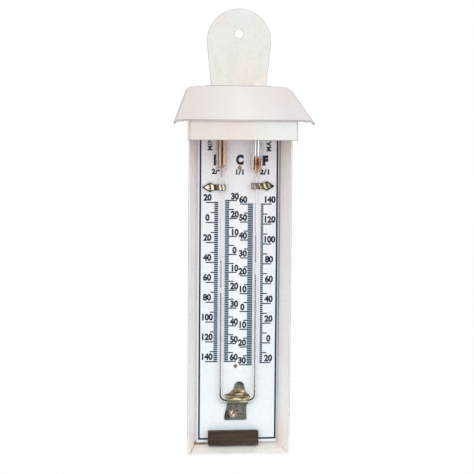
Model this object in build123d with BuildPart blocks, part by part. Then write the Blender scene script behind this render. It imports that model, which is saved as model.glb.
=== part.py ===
import os
from math import asin, atan, cos, degrees, radians, sin, tan

from build123d import *

os.makedirs("parts", exist_ok=True)

# Maximum and minimum thermometer, in millimetres.
# The origin is the centre of the hanging hole, on the face that lies against the wall.
# +Z is up, the scale faces -Y and +X is to the reader's right.
# Heights are drops below the hanging hole, depths are distances in front of the wall.

# ---- case: tray with hanging tab, hood and roof, folded from one gauge of steel sheet
sheet = 0.8  # gauge of the sheet
bend_radius = 0.5  # inside radius of a fold
seat_gap = 0.05  # play between sheets that rest on each other
hole_diameter = 5.0  # hanging hole
tab_radius = 17.8  # round head of the hanging tab
tab_head = 13.7  # hanging hole to the top of the tab
tab_foot_width = 30.4  # width where the tab meets the roof
roof_drop = 28.5  # rear edge of the roof
floor_width = 46.2  # flat floor between the side walls
floor_drop = 228.5  # lower edge of the floor
tray_depth = 13.0  # wall to the rim of the tray
side_flare = 20.5  # lean of the side walls, degrees
bottom_flare = 15.4  # lean of the bottom wall, degrees
corner_slit = 0.25  # open seam where the side and bottom walls meet
hood_drop = 58.5  # lower edge of the hood
hood_depth = 27.5  # wall to the hood's front
hood_lap = 9.0  # how far the hood's cheeks lap back over the tray's walls
roof_depth = 29.5  # wall to the roof's front edge
roof_pitch = 33.7  # slope of the roof, degrees
roof_rear_width = 53.6  # between the folds of the roof's sides, at the rear
roof_front_width = 71.8  # the same at the front
roof_shoulder = 8.0  # slant of the rear edge beside the tab, degrees
roof_flange_width = 36.0  # rear flange that carries the roof
roof_flange_height = 6.5
lip_width = 2.1  # turned-down edge along each side of the roof
lip_fold = 40.0  # fold of that edge from the roof's slope, degrees

# ---- scale plate
plate_width = 45.0
plate_thickness = 1.5
plate_radius = 0.8  # rounding of the plate's corners
plate_edge = 0.15  # broken front edges
plate_gap = 0.4  # plate's lower edge to the tray's bottom wall
plate_head_gap = 1.0  # plate's upper edge to the roof's flange

# ---- glass tube
leg_spacing = 19.4  # between the axes of the two legs
leg_diameter = 3.5
bore_diameter = 0.8
bulb_diameter = 6.5
bulb_wall = 0.65  # glass round the bulbs' hollows
bulb_gap = 0.1  # back of the bulbs to the plate
bulb_head_drop = 41.0  # crown of the bulbs
bulb_foot_drop = 72.3  # lower end of the bulbs' full width
neck_length = 6.1  # height over which the bulbs narrow to the legs
seal_diameter = 1.7  # sealed-off nipple on each bulb
seal_length = 2.2
bend_drop = 203.7  # axis of the tube's bottom run
tube_bend = 3.3  # radius of the tube's bends
min_mouth_rise = 4.1  # foot of the neck up to where the minimum bulb's hollow opens out
max_mouth_rise = 2.0  # the same in the maximum bulb
min_hollow_taper = 2.3  # height over which the minimum hollow rounds in to its mouth
max_hollow_taper = 4.4  # the same in the maximum bulb
film = 0.03  # liquid to glass
spirit_drop = 67.8  # surface of the spirit in the maximum bulb
column_drop = 79.0  # lower end of the spirit that is drawn under each bulb
min_thread_drop = 143.2  # top of the mercury in the minimum leg
max_thread_drop = 133.1  # top of the mercury in the maximum leg

# ---- markers in the bore
index_length = 14.5
index_bead = 0.6  # diameter and length of the beads at a marker's ends
index_stem = 0.3  # diameter between the beads
min_index_drop = 140.0  # reading end of the minimum marker
max_index_drop = 126.1  # reading end of the maximum marker
hair_diameter = 0.06  # wire of a marker's friction spring
hair_length = 8.0
hair_play = 0.02  # spring to the wall of the bore

# ---- brass clips, pins and rivets
min_clip_gap = 6.4  # foot of the minimum bulb's neck to the clip's centre line
max_clip_gap = 5.5  # the same on the maximum leg
strap_gauge = 0.4
strap_width = 3.2
strap_play = 0.12  # strap to glass, and to the edges of its slot
strap_bend = 0.5  # centreline radius where a strap turns
tail_length = 3.5  # strap folded flat behind the plate
leaf_reach = 20.3  # centre of the case to the point of a leaf
leaf_width = 5.1
leaf_shoulder = 4.2  # point of a leaf to its widest place
leaf_root = 7.0  # point of a leaf to where it leaves the strap
leaf_rise = 0.7  # how far a leaf is crowned off the plate
foot_gauge = 0.5  # sheet of the foot clip
foot_head_drop = 193.7  # rounded top of the foot clip
foot_tail_drop = 215.4  # lower edge of the foot clip
foot_head_width = 5.6
foot_head_x = 1.4  # the head stands to the right of the clip's pin
foot_waist_width = 11.2
foot_tail_width = 12.6
foot_tail_x = -0.7  # and the lower edge to its left
foot_corner = 0.8  # rounding of the clip's lower corners
foot_wing = 0.6  # how far the clip's wings pass the tube's straight run
pin_head = 2.2
pin_shank = 1.2
pin_crown = 0.6  # height of a pin's domed head
pin_play = 0.05  # shank to hole
upper_pin_x = 0.7
upper_pin_drop = 73.9
lower_pin_x = -0.9
lower_pin_drop = 184.9
foot_pin_drop = 210.9
rivet_head = 3.4
rivet_shank = 2.0
rivet_crown = 0.9
rivet_flat = 1.6  # flat on a rivet's coned head
rivet_margin = 4.5  # lowest hood rivet above the hood's lower edge
hood_rivet_pitch = 12.0
roof_rivet_pitch = 24.0

# ---- reset magnet
magnet_width = 28.2
magnet_height = 7.8
magnet_thickness = 4.7
magnet_edge = 0.4  # rounding of its edges
magnet_x = -2.1
magnet_play = 0.05  # magnet to the faces it rests on

# ---- sizes that follow
side_lean = radians(side_flare)
bottom_lean = radians(bottom_flare)
slope = radians(roof_pitch)
fold = radians(lip_fold)
floor_half = floor_width / 2
roof_seat_depth = sheet + seat_gap
plate_face = sheet + plate_thickness
plate_head_drop = roof_drop + roof_flange_height + plate_head_gap
plate_foot_drop = floor_drop - plate_gap
tube_depth = plate_face + bulb_gap + bulb_diameter / 2
neck_drop = bulb_foot_drop + neck_length
min_mouth_drop = neck_drop - min_mouth_rise
max_mouth_drop = neck_drop - max_mouth_rise
min_clip_drop = neck_drop + min_clip_gap
max_clip_drop = neck_drop + max_clip_gap
leg_x = leg_spacing / 2
straight_half = leg_x - tube_bend
strap_over = leg_diameter / 2 + strap_play + strap_gauge / 2
strap_inner = leg_x - strap_over
strap_outer = leg_x + strap_over
foot_over = leg_diameter / 2 + strap_play + foot_gauge / 2


def ahead(depth):
    """Plane parallel to the wall, a given depth in front of it and facing away from it."""
    return Plane.XZ.offset(depth)


def wall_half(depth, skin):
    """Centre of the case to a side wall at one depth: its inside face plus a skin."""
    return floor_half + (depth - sheet) * tan(side_lean) + skin / cos(side_lean)


def wall_foot(depth, skin):
    """Drop of the bottom wall at one depth: its inside face plus a skin."""
    return floor_drop + (depth - sheet) * tan(bottom_lean) + skin / cos(bottom_lean)


def tray_block(back, skin, head):
    """Block between the tray's three walls, out to a skin round their inside faces."""
    front = tray_depth + back
    with BuildPart() as block:
        with BuildSketch(ahead(back)):
            with Locations((0, -head)):
                Rectangle(4 * floor_half, 2 * floor_drop, align=(Align.CENTER, Align.MAX))
        extrude(amount=tray_depth)
        for side in (-1, 1):
            wall = Plane(
                origin=(side * wall_half(front, skin), -front, 0),
                z_dir=(side * cos(side_lean), sin(side_lean), 0),
            )
            split(bisect_by=wall, keep=Keep.BOTTOM)
        wall = Plane(
            origin=(0, -front, -wall_foot(front, skin)),
            x_dir=(1, 0, 0),
            z_dir=(0, sin(bottom_lean), -cos(bottom_lean)),
        )
        split(bisect_by=wall, keep=Keep.BOTTOM)
    return block.part


def tab_outline():
    """Hanging tab: a round head that runs out in straight sides to its foot."""
    with BuildSketch() as tab:
        with Locations((0, tab_head - tab_radius)):
            Circle(tab_radius)
        with Locations((0, -roof_drop)):
            Rectangle(tab_foot_width, sheet, align=(Align.CENTER, Align.MAX))
        make_hull(tab.edges())
    return tab.sketch


def dome(width, rise):
    """Half profile of a spherical head that stands on its seat."""
    half_width = width / 2
    bow = (half_width**2 + rise**2) / (2 * rise)
    with BuildSketch() as half:
        with BuildLine():
            Line((0, 0), (half_width, 0))
            JernArc((0, rise), (1, 0), bow, -degrees(2 * atan(rise / half_width)))
            Line((0, rise), (0, 0))
        make_face()
    return half.sketch


def pin(seat, grip):
    """Pin with a domed head on its seat."""
    with BuildPart() as fastener:
        with BuildSketch(Plane.XZ):
            with Locations((0, -grip)):
                Rectangle(pin_shank / 2, grip, align=(Align.MIN, Align.MIN))
            add(dome(pin_head, pin_crown))
        revolve(axis=Axis.Z)
    return fastener.part.moved(seat.location)


def rivet(seat, grip, tail=0):
    """Rivet with a coned head on its seat and, where it has one, a tail head behind its grip."""
    with BuildPart() as fastener:
        with BuildSketch(Plane.XZ):
            with Locations((0, -grip)):
                Rectangle(rivet_shank / 2, grip, align=(Align.MIN, Align.MIN))
            for foot, rise in ((0, rivet_crown), (-grip, -tail)):
                if rise:
                    Polygon(
                        (0, foot),
                        (rivet_head / 2, foot),
                        (rivet_flat / 2, foot + rise),
                        (0, foot + rise),
                        align=None,
                    )
        revolve(axis=Axis.Z)
    return fastener.part.moved(seat.location)


def seat(x, drop, depth):
    """Place for a fastener's head on a face parallel to the wall."""
    return Plane(origin=(x, -depth, -drop), z_dir=(0, -1, 0))


def bulb_profile(radius, mouth_radius, mouth, foot, crown, rounded):
    """Half profile of a bulb: round crown, and a foot that is an arc or a rounded neck."""
    middle = ((mouth_radius + radius) / 2, -(mouth + foot) / 2)
    with BuildSketch() as half:
        with BuildLine():
            Line((0, -mouth), (mouth_radius, -mouth))
            if rounded:
                TangentArc((mouth_radius, -mouth), middle, tangent=(0, 1))
                TangentArc((radius, -foot), middle, tangent=(0, -1))
            else:
                TangentArc((radius, -foot), (mouth_radius, -mouth), tangent=(0, -1))
            Line((radius, -foot), (radius, -crown - radius))
            JernArc((radius, -crown - radius), (0, 1), radius, 90)
            Line((0, -crown), (0, -mouth))
        make_face()
    return half.sketch


def bulb(x, radius, mouth_radius, mouth, foot, crown, rounded):
    """Solid of revolution on the axis of one leg, from a bulb's profile."""
    with BuildPart() as vessel:
        with BuildSketch(ahead(tube_depth)):
            with Locations((x, 0)):
                add(bulb_profile(radius, mouth_radius, mouth, foot, crown, rounded))
        revolve(axis=Axis((x, -tube_depth, 0), (0, 0, 1)))
    return vessel.part


def hollow(x, mouth, taper, skin):
    """Inside of one bulb, drawn in from the glass by a skin."""
    return bulb(
        x,
        bulb_diameter / 2 - bulb_wall - skin,
        bore_diameter / 2 - skin,
        mouth - skin,
        mouth - skin - taper,
        bulb_head_drop + bulb_wall + skin,
        rounded=False,
    )


def glass_bulb(x):
    """Outside of one bulb."""
    return bulb(
        x,
        bulb_diameter / 2,
        leg_diameter / 2,
        neck_drop,
        bulb_foot_drop,
        bulb_head_drop,
        rounded=True,
    )


def upright(x, radius, foot, head):
    """Round bar on the axis of one leg."""
    with BuildPart() as bar:
        with BuildSketch(Plane.XY.offset(-foot)):
            with Locations((x, -tube_depth)):
                Circle(radius)
        extrude(amount=foot - head)
    return bar.part


def tube_run(radius, min_drop, max_drop):
    """Round bar along the tube's axis, between given drops in the minimum and maximum legs."""
    bend_head = bend_drop - tube_bend
    with BuildPart() as run:
        for side, drop in ((-1, min_drop), (1, max_drop)):
            add(upright(side * leg_x, radius, bend_head, drop))
            with BuildSketch(Plane.XY.offset(-bend_head)):
                with Locations((side * leg_x, -tube_depth)):
                    Circle(radius)
            hub = Axis((side * straight_half, -tube_depth, -bend_head), (0, side, 0))
            revolve(axis=hub, revolution_arc=90)
        with BuildSketch(Plane.YZ.offset(-straight_half)):
            with Locations((-tube_depth, -bend_drop)):
                Circle(radius)
        extrude(amount=2 * straight_half)
    return run.part


def marker(x, drop):
    """Steel marker with a bead at each end, on the axis of one leg."""
    with BuildPart() as body:
        with BuildSketch(ahead(tube_depth)):
            with Locations((x, -drop)):
                Rectangle(index_stem / 2, index_length, align=(Align.MIN, Align.MIN))
                Rectangle(index_bead / 2, index_bead, align=(Align.MIN, Align.MIN))
            with Locations((x, index_length - drop)):
                Rectangle(index_bead / 2, index_bead, align=(Align.MIN, Align.MAX))
        revolve(axis=Axis((x, -tube_depth, 0), (0, 0, 1)))
    return body.part


def friction_hair(x, drop, side):
    """Bowed hair spring that leans a marker against its bore."""
    rise = (bore_diameter - index_stem) / 2 - hair_play - hair_diameter
    bow = (hair_length**2 / 4 + rise**2) / (2 * rise)
    half_turn = degrees(asin(hair_length / (2 * bow)))
    reach = bore_diameter / 2 - hair_play - hair_diameter / 2
    hub = (x + side * (reach - bow), -tube_depth, index_length / 2 - drop)
    with BuildPart() as hair:
        with BuildSketch(Plane(origin=hub).rotated((0, half_turn, 0))):
            with Locations((side * bow, 0)):
                Circle(hair_diameter / 2)
        revolve(axis=Axis(hub, (0, -1, 0)), revolution_arc=2 * half_turn)
    return hair.part


def leaf_outline(drop):
    """Strap that ends in a pointed leaf, seen from the front."""
    root_x = leaf_reach - leaf_root
    wide_x = leaf_reach - leaf_shoulder
    with BuildSketch() as leaf:
        with Locations((root_x, -drop)):
            Rectangle(leaf_reach, strap_width, align=(Align.MAX, Align.CENTER))
        with BuildLine():
            for rim in (-1, 1):
                Line((leaf_reach, -drop), (wide_x, -drop + rim * leaf_width / 2))
                Spline(
                    (wide_x, -drop + rim * leaf_width / 2),
                    (root_x, -drop + rim * strap_width / 2),
                    tangents=((-1, 0), (-1, 0)),
                )
            Line((root_x, -drop - strap_width / 2), (root_x, -drop + strap_width / 2))
        make_face()
    return leaf.sketch


def side_clip(drop):
    """Strap from a slot in the plate over the maximum leg, ending in a leaf on the plate."""
    tail_depth = sheet + seat_gap + strap_gauge / 2
    leaf_depth = plate_face + strap_play / 2 + strap_gauge / 2
    quarter = strap_bend * (1 - cos(radians(45)))
    leaf_start = strap_outer + strap_bend
    with BuildPart() as clip:
        with BuildSketch(Plane.XY.offset(-drop - leaf_width)):
            with BuildLine():
                FilletPolyline(
                    (strap_inner - tail_length, -tail_depth),
                    (strap_inner, -tail_depth),
                    (strap_inner, -tube_depth),
                    radius=strap_bend,
                )
                ThreePointArc(
                    (strap_inner, -tube_depth),
                    (leg_x, -tube_depth - strap_over),
                    (strap_outer, -tube_depth),
                )
                Line((strap_outer, -tube_depth), (strap_outer, -leaf_depth - strap_bend))
                ThreePointArc(
                    (strap_outer, -leaf_depth - strap_bend),
                    (strap_outer + quarter, -leaf_depth - quarter),
                    (leaf_start, -leaf_depth),
                )
                ThreePointArc(
                    (leaf_start, -leaf_depth),
                    ((leaf_start + leaf_reach) / 2, -leaf_depth - leaf_rise),
                    (leaf_reach, -leaf_depth),
                )
            trace(line_width=strap_gauge)
        extrude(amount=2 * leaf_width)
        with BuildSketch(Plane.XZ):
            add(leaf_outline(drop))
        extrude(amount=hood_depth, mode=Mode.INTERSECT)
    return clip.part


def strap_slots(drop):
    """Openings of the maximum clip: pocket behind the plate and slot through it."""
    clear = strap_width + 2 * strap_play
    with BuildPart() as cuts:
        with BuildSketch(ahead(sheet)):
            with Locations((strap_inner + strap_gauge / 2 + strap_play, -drop)):
                Rectangle(
                    tail_length + strap_gauge / 2 + 2 * strap_play,
                    clear,
                    align=(Align.MAX, Align.CENTER),
                )
        extrude(amount=strap_gauge + 2 * seat_gap)
        with BuildSketch(ahead(sheet)):
            with Locations((strap_inner, -drop)):
                Rectangle(strap_gauge + 2 * strap_play, clear)
        extrude(amount=plate_thickness)
    return cuts.part


# roof's outside face, and the face that the sheets under it are cut to
roof_top = Plane(
    origin=(0, -roof_seat_depth, -roof_drop),
    x_dir=(1, 0, 0),
    z_dir=(0, -sin(slope), cos(slope)),
)
roof_seat = roof_top.offset(-sheet - seat_gap)
roof_run = (roof_depth - roof_seat_depth) / cos(slope)
roof_rivet_seats = [
    seat(x, roof_drop + roof_flange_height / 2 + sheet, roof_seat_depth + sheet)
    for x in (-roof_rivet_pitch / 2, roof_rivet_pitch / 2)
]

# hood's rivets stand square on the lap of its cheeks over the tray's walls
rivet_depth = tray_depth - hood_lap / 2 - bend_radius
hood_skin = 2 * sheet + seat_gap
hood_rivet_seats = [
    Plane(
        origin=(side * wall_half(rivet_depth, hood_skin), -rivet_depth, -drop),
        z_dir=(side * cos(side_lean), sin(side_lean), 0),
    )
    for side in (-1, 1)
    for drop in (hood_drop - rivet_margin - hood_rivet_pitch, hood_drop - rivet_margin)
]

plate_pins = ((upper_pin_x, upper_pin_drop), (lower_pin_x, lower_pin_drop), (0, foot_pin_drop))

# ---- case_tray: floor with flared walls, and the hanging tab
with BuildPart() as case_tray:
    add(tray_block(0, sheet, roof_drop))
    add(tray_block(sheet, 0, roof_drop - sheet), mode=Mode.SUBTRACT)
    inner_folds = case_tray.edges().group_by(Axis.Y)[-2].sort_by(Axis.Z)[:-1]
    fillet(inner_folds, bend_radius)
    outer_folds = case_tray.edges().group_by(Axis.Y)[-1].sort_by(Axis.Z)[:-1]
    fillet(outer_folds, bend_radius + sheet)
    split(bisect_by=roof_seat, keep=Keep.BOTTOM)
    # corner seams between the side and bottom walls
    for side in (-1, 1):
        with BuildSketch(ahead(sheet)):
            with Locations((side * floor_half, -floor_drop)):
                Rectangle(
                    tray_depth,
                    corner_slit,
                    rotation=-side * 45,
                    align=(Align.MIN if side > 0 else Align.MAX, Align.CENTER),
                )
        extrude(amount=tray_depth, mode=Mode.SUBTRACT)
    # tab, with the strip of floor behind the roof's rear edge
    with BuildSketch(Plane.XZ):
        add(tab_outline())
        with Locations((0, -roof_drop)):
            Rectangle(tab_foot_width, roof_flange_height, align=(Align.CENTER, Align.MAX))
    extrude(amount=sheet)
    with BuildSketch(Plane.XZ):
        Circle(hole_diameter / 2)
        for x, drop in plate_pins:
            with Locations((x, -drop)):
                Circle(pin_shank / 2 + pin_play)
    extrude(amount=sheet, mode=Mode.SUBTRACT)
    with BuildSketch(*hood_rivet_seats, *roof_rivet_seats):
        Circle(rivet_shank / 2 + pin_play)
    extrude(amount=-4 * sheet, mode=Mode.SUBTRACT)
case_tray.part.label = "case_tray"

# ---- hood: one sheet bent round the bulbs, its cheeks lapped over the tray's flared walls
with BuildPart() as hood:
    cheek_skin = sheet + seat_gap + sheet / 2
    lap_depth = tray_depth - hood_lap
    cheek_half = wall_half(tray_depth, cheek_skin)
    with BuildSketch(Plane.XY.offset(-hood_drop)):
        with BuildLine():
            FilletPolyline(
                (-wall_half(lap_depth, cheek_skin), -lap_depth),
                (-cheek_half, -tray_depth),
                (-cheek_half, -hood_depth + sheet / 2),
                (cheek_half, -hood_depth + sheet / 2),
                (cheek_half, -tray_depth),
                (wall_half(lap_depth, cheek_skin), -lap_depth),
                radius=bend_radius + sheet / 2,
            )
        trace(line_width=sheet)
    extrude(amount=hood_drop - roof_drop)
    split(bisect_by=roof_seat, keep=Keep.BOTTOM)
    with BuildSketch(*hood_rivet_seats):
        Circle(rivet_shank / 2 + pin_play)
    extrude(amount=-hood_skin, mode=Mode.SUBTRACT)
hood.part.label = "hood"

# ---- roof: sloping sheet with a rear flange and turned-down sides
with BuildPart() as roof:
    rear_half = roof_rear_width / 2
    front_half = roof_front_width / 2
    spread = front_half - rear_half
    inset = 2 * sheet
    side_edge = (roof_top.x_dir * spread - roof_top.y_dir * roof_run).normalized()
    side_out = (roof_top.x_dir * roof_run + roof_top.y_dir * spread).normalized()
    with BuildSketch(roof_top):
        Polygon(
            (inset - rear_half, 0),
            (rear_half - inset, 0),
            (front_half - inset, -roof_run),
            (inset - front_half, -roof_run),
            align=None,
        )
    extrude(amount=-sheet)
    with BuildSketch(Plane(roof_top.from_local_coords((rear_half, 0)), x_dir=side_out, z_dir=side_edge)):
        with BuildLine():
            FilletPolyline(
                (-2 * inset, -sheet / 2),
                (0, -sheet / 2),
                (lip_width * cos(fold), -sheet / 2 - lip_width * sin(fold)),
                radius=bend_radius + sheet / 2,
            )
        trace(line_width=sheet)
    extrude(amount=roof_run + spread)
    mirror(about=Plane.YZ)
    split(bisect_by=ahead(roof_depth), keep=Keep.BOTTOM)
    split(bisect_by=ahead(roof_seat_depth), keep=Keep.TOP)
    # rear edge, cut at a slant on both sides of the tab
    shoulder_reach = front_half - tab_foot_width / 2
    with BuildSketch(roof_top):
        for side in (-1, 1):
            Polygon(
                (side * tab_foot_width / 2, 0),
                (side * front_half, 0),
                (side * front_half, -shoulder_reach * tan(radians(roof_shoulder))),
                align=None,
            )
    extrude(amount=lip_width, both=True, mode=Mode.SUBTRACT)
    with BuildSketch(Plane.YZ):
        Polygon(
            (-roof_seat_depth, -roof_drop),
            (-roof_seat_depth - sheet, -roof_drop - sheet * tan(slope)),
            (-roof_seat_depth - sheet, -roof_drop - roof_flange_height),
            (-roof_seat_depth, -roof_drop - roof_flange_height),
            align=None,
        )
    extrude(amount=roof_flange_width / 2, both=True)
    with BuildSketch(*roof_rivet_seats):
        Circle(rivet_shank / 2 + pin_play)
    extrude(amount=-sheet, mode=Mode.SUBTRACT)
roof.part.label = "roof"

# ---- scale_plate: lies on the tray's floor
with BuildPart() as scale_plate:
    with BuildSketch(ahead(sheet)):
        with Locations((0, -plate_head_drop)):
            Rectangle(plate_width, plate_foot_drop - plate_head_drop, align=(Align.CENTER, Align.MAX))
    extrude(amount=plate_thickness)
    fillet(scale_plate.edges().filter_by(Axis.Y), plate_radius)
    chamfer(scale_plate.faces().sort_by(Axis.Y)[0].edges(), plate_edge)
    add(strap_slots(max_clip_drop), mode=Mode.SUBTRACT)
    add(mirror(strap_slots(min_clip_drop), about=Plane.YZ, mode=Mode.PRIVATE), mode=Mode.SUBTRACT)
    with BuildSketch(ahead(sheet)):
        for x, drop in plate_pins:
            with Locations((x, -drop)):
                Circle(pin_shank / 2 + pin_play)
    extrude(amount=plate_thickness, mode=Mode.SUBTRACT)
scale_plate.part.label = "scale_plate"

# ---- glass_tube: U-shaped capillary with a bulb on each leg
with BuildPart() as glass_tube:
    add(tube_run(leg_diameter / 2, neck_drop, neck_drop))
    for x in (-leg_x, leg_x):
        add(glass_bulb(x))
        add(upright(x, seal_diameter / 2, bulb_head_drop + bulb_wall, bulb_head_drop - seal_length))
    seal_rims = glass_tube.faces().sort_by(Axis.Z)[-2:].edges()
    chamfer(seal_rims, seal_diameter / 4)
    add(tube_run(bore_diameter / 2, min_mouth_drop, max_mouth_drop), mode=Mode.SUBTRACT)
    add(hollow(-leg_x, min_mouth_drop, min_hollow_taper, 0), mode=Mode.SUBTRACT)
    add(hollow(leg_x, max_mouth_drop, max_hollow_taper, 0), mode=Mode.SUBTRACT)
glass_tube.part.label = "glass_tube"

# ---- spirit_min_side: fills the minimum bulb
with BuildPart() as spirit_min_side:
    add(hollow(-leg_x, min_mouth_drop, min_hollow_taper, film))
    add(upright(-leg_x, bore_diameter / 2 - film, column_drop, min_mouth_drop - film))
spirit_min_side.part.label = "spirit_min_side"

# ---- spirit_max_side: fills the maximum bulb up to its free surface
with BuildPart() as spirit_max_side:
    add(hollow(leg_x, max_mouth_drop, max_hollow_taper, film))
    add(upright(leg_x, bore_diameter / 2 - film, column_drop, max_mouth_drop - film))
    split(bisect_by=Plane.XY.offset(-spirit_drop), keep=Keep.BOTTOM)
spirit_max_side.part.label = "spirit_max_side"

# ---- mercury_thread: fills the lower part of the bore, with rounded ends
with BuildPart() as mercury_thread:
    add(tube_run(bore_diameter / 2 - film, min_thread_drop, max_thread_drop))
    meniscus_rims = mercury_thread.faces().filter_by(Axis.Z).edges()
    chamfer(meniscus_rims, bore_diameter / 5)
mercury_thread.part.label = "mercury_thread"

# ---- markers with their friction springs
with BuildPart() as min_index:
    add(marker(-leg_x, min_index_drop))
min_index.part.label = "min_index"

with BuildPart() as max_index:
    add(marker(leg_x, max_index_drop))
max_index.part.label = "max_index"

with BuildPart() as min_index_spring:
    add(friction_hair(-leg_x, min_index_drop, 1))
min_index_spring.part.label = "min_index_spring"

with BuildPart() as max_index_spring:
    add(friction_hair(leg_x, max_index_drop, -1))
max_index_spring.part.label = "max_index_spring"

# ---- side clips
with BuildPart() as clip_max_side:
    add(side_clip(max_clip_drop))
clip_max_side.part.label = "clip_max_side"

with BuildPart() as clip_min_side:
    add(mirror(side_clip(min_clip_drop), about=Plane.YZ, mode=Mode.PRIVATE))
clip_min_side.part.label = "clip_min_side"

# ---- foot_clip: bell-shaped strap over the tube's bottom run
with BuildPart() as foot_clip:
    foot_depth = plate_face + strap_play / 2 + foot_gauge / 2
    hump_foot = bend_drop + foot_over
    hump_head = bend_drop - foot_over
    wing_half = straight_half + foot_wing
    with BuildSketch(Plane.YZ.offset(-plate_width / 2)):
        with BuildLine():
            FilletPolyline(
                (-foot_depth, -foot_tail_drop),
                (-foot_depth, -hump_foot),
                (-tube_depth, -hump_foot),
                radius=strap_bend,
            )
            ThreePointArc(
                (-tube_depth, -hump_foot),
                (-tube_depth - foot_over, -bend_drop),
                (-tube_depth, -hump_head),
            )
            FilletPolyline(
                (-tube_depth, -hump_head),
                (-foot_depth, -hump_head),
                (-foot_depth, -foot_head_drop),
                radius=strap_bend,
            )
        trace(line_width=foot_gauge)
    extrude(amount=plate_width)
    with BuildSketch(Plane.XZ) as foot_outline:
        with BuildLine():
            head_half = foot_head_width / 2
            shoulder = foot_head_drop + head_half
            quarter = head_half * sin(radians(45))
            for side in (-1, 1):
                tail_corner = (foot_tail_x + side * foot_tail_width / 2, -foot_tail_drop)
                wing_tip = (side * wing_half, -hump_head + strap_bend)
                head_side = (foot_head_x + side * head_half, -shoulder)
                Line((0, -foot_tail_drop), tail_corner)
                Spline(
                    tail_corner,
                    (side * foot_waist_width / 2, -hump_foot - strap_bend),
                    wing_tip,
                    tangents=((0, 1), (side * 0.5, 1)),
                )
                Spline(wing_tip, head_side, tangents=((-side, 0.3), (-side * 0.2, 1)))
                ThreePointArc(
                    head_side,
                    (foot_head_x + side * quarter, -shoulder + quarter),
                    (foot_head_x, -foot_head_drop),
                )
        make_face()
        fillet(foot_outline.vertices().group_by(Axis.Y)[0], foot_corner)
    extrude(amount=hood_depth, mode=Mode.INTERSECT)
    with BuildSketch(ahead(plate_face)):
        with Locations((0, -foot_pin_drop)):
            Circle(pin_shank / 2 + pin_play)
    extrude(amount=foot_gauge + strap_play, mode=Mode.SUBTRACT)
foot_clip.part.label = "foot_clip"

# ---- pins, flush with the wall
with BuildPart() as plate_pin_upper:
    add(pin(seat(upper_pin_x, upper_pin_drop, plate_face), plate_face))
plate_pin_upper.part.label = "plate_pin_upper"

with BuildPart() as plate_pin_lower:
    add(pin(seat(lower_pin_x, lower_pin_drop, plate_face), plate_face))
plate_pin_lower.part.label = "plate_pin_lower"

with BuildPart() as foot_clip_pin:
    clip_face = plate_face + strap_play / 2 + foot_gauge
    add(pin(seat(0, foot_pin_drop, clip_face), clip_face))
foot_clip_pin.part.label = "foot_clip_pin"

# ---- rivets of the hood and of the roof
with BuildPart() as hood_rivets:
    for place in hood_rivet_seats:
        add(rivet(place, hood_skin, rivet_crown))
hood_rivets.part.label = "hood_rivets"

with BuildPart() as roof_rivets:
    for place in roof_rivet_seats:
        add(rivet(place, roof_seat_depth + sheet))
roof_rivets.part.label = "roof_rivets"

# ---- reset_magnet: bar that stands on the tray's bottom wall, against the plate
with BuildPart() as reset_magnet:
    magnet_foot = wall_foot(plate_face, 0) - magnet_play
    with BuildSketch(ahead(plate_face + magnet_play)):
        with Locations((magnet_x, -magnet_foot)):
            Rectangle(magnet_width, magnet_height, align=(Align.CENTER, Align.MIN))
    extrude(amount=magnet_thickness)
    fillet(reset_magnet.edges(), magnet_edge)
reset_magnet.part.label = "reset_magnet"

for piece in (
    case_tray,
    hood,
    roof,
    scale_plate,
    glass_tube,
    spirit_min_side,
    spirit_max_side,
    mercury_thread,
    min_index,
    max_index,
    min_index_spring,
    max_index_spring,
    clip_max_side,
    clip_min_side,
    foot_clip,
    plate_pin_upper,
    plate_pin_lower,
    foot_clip_pin,
    hood_rivets,
    roof_rivets,
    reset_magnet,
):
    export_step(piece.part, f"parts/{piece.part.label}.step")
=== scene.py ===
import math

import bpy
from mathutils import Matrix, Vector


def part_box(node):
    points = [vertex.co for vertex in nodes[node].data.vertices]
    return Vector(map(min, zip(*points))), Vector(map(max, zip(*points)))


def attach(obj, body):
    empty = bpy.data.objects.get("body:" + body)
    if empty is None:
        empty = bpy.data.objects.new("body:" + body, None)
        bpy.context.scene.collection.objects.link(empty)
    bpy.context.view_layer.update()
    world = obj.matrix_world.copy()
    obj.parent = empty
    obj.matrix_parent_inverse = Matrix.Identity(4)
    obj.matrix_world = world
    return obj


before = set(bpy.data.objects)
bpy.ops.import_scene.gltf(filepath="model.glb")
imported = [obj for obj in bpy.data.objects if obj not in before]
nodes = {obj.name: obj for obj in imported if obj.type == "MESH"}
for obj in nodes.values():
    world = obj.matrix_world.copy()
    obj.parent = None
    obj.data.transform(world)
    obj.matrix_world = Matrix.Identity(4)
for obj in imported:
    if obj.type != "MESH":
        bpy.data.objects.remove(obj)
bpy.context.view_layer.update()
mm = 0.001  # lengths in the dictionaries are in millimetres


def selectNothing():
    bpy.ops.object.select_all(action="DESELECT")


def selectOnly(obj):
    selectNothing()
    obj.select_set(True)
    bpy.context.view_layer.objects.active = obj


def settle(obj):
    selectOnly(obj)
    bpy.ops.object.transform_apply(location=True, rotation=True, scale=True)


def joinPieces(pieces, name):
    selectOnly(pieces[0])
    for piece in pieces:
        piece.select_set(True)
    bpy.ops.object.join()
    joined = bpy.context.view_layer.objects.active
    joined.name = name
    joined.data.name = name
    return joined


def finishPiece(obj, body, material):
    obj.data.materials.clear()
    obj.data.materials.append(material)
    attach(obj, body)


def newMaterial(name):
    material = bpy.data.materials.new(name)
    material.use_nodes = True
    tree = material.node_tree
    shader = tree.nodes["Principled BSDF"]
    return material, tree, shader


def objectPoint(tree, stretch=(1, 1, 1), turn=0.0):
    place = tree.nodes.new("ShaderNodeTexCoord")
    mapping = tree.nodes.new("ShaderNodeMapping")
    mapping.inputs["Scale"].default_value = stretch
    mapping.inputs["Rotation"].default_value = (0, math.radians(turn), 0)
    tree.links.new(place.outputs["Object"], mapping.inputs["Vector"])
    return mapping.outputs["Vector"]


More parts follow.
